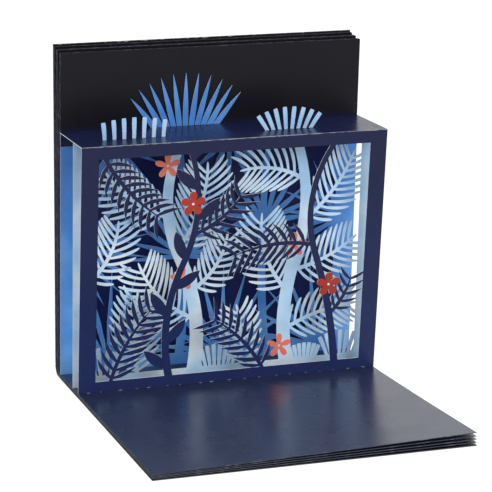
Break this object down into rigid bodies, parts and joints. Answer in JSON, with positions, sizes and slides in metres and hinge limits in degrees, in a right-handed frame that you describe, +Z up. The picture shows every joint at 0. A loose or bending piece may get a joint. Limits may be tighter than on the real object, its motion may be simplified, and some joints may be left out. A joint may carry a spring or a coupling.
{
  "type": "pop-up book",
  "caption": "Pop-up book opened upright at one spread, with a navy die-cut box that frames layered pale and mid blue foliage cut from card.",
  "frame": {"origin": "centre of the underside of the cover that lies on the table", "axes": "+X along the spine to the reader's right, -Y towards the reader, +Z up"},
  "size_m": [0.18, 0.2036, 0.1968],
  "materials": {
    "cover_card": "satin coated card, white cut edges",
    "page_card": "satin coated card, white cut edges",
    "navy_card": "satin coated card, white cut edges",
    "pale_blue_card": "satin coated card",
    "mid_blue_card": "satin coated card"
  },
  "bodies": {
    "back_cover": {"back_cover": "cover_card"},
    "page_block": {"pages": "page_card", "cover_spine": "cover_card", "scene_box": "navy_card", "middle_layer": "pale_blue_card", "rear_layer": "mid_blue_card"},
    "front_cover": {"front_cover": "cover_card"}
  },
  "joints": [
    {"name": "back_cover_hinge", "type": "hinge", "parent": "back_cover", "child": "page_block", "pos_m": [0, 0.0955, 0], "axis": [-1, 0, 0], "range_deg": [0, 90]},
    {"name": "front_cover_hinge", "type": "hinge", "parent": "page_block", "child": "front_cover", "pos_m": [0, 0.1081, 0.006], "axis": [-1, 0, 0], "range_deg": [0, 94]}
  ]
}
